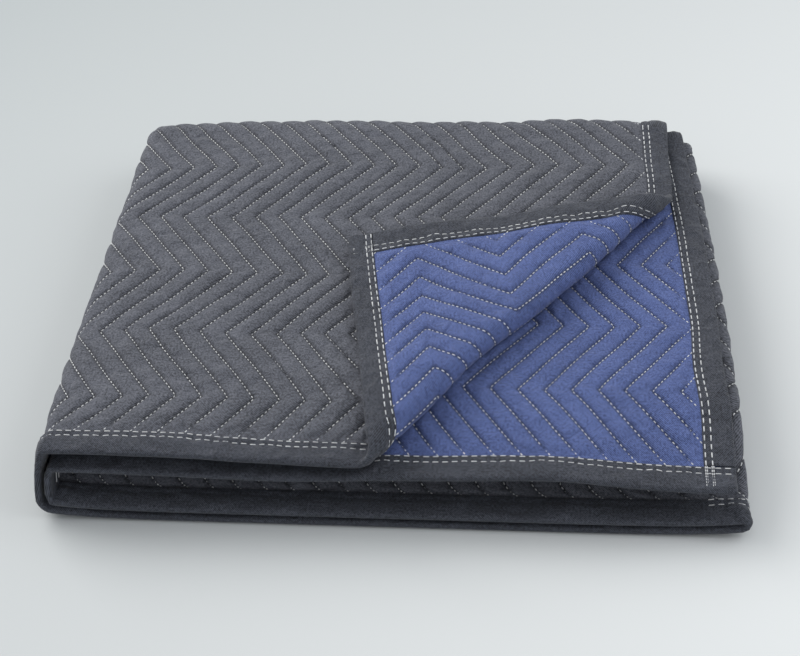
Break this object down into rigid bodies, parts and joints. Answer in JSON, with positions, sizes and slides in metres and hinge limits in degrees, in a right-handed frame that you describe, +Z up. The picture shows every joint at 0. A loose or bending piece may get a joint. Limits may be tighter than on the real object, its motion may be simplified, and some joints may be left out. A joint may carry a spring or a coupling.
{
  "type": "moving blanket",
  "caption": "Quilted moving blanket with a bound edge, folded into a low stack, its top front corner turned back to show the inner face.",
  "frame": {"origin": "middle of the footprint, on the surface the folded blanket rests on", "axes": "+X across the stack towards the bound side edges, +Y from the open front towards the rear fold, +Z up"},
  "size_m": [0.5147, 0.445, 0.0859],
  "materials": {
    "black_cloth": "matt woven cloth with white zigzag quilting",
    "blue_cloth": "matt woven cloth with white zigzag quilting",
    "binding_tape": "matt woven tape with two rows of white stitching"
  },
  "bodies": {
    "root": {"panel_black": "black_cloth", "panel_blue": "blue_cloth", "binding_front": "binding_tape", "binding_end": "binding_tape", "binding_top_side": "binding_tape", "binding_under_side": "binding_tape"}
  },
  "joints": []
}
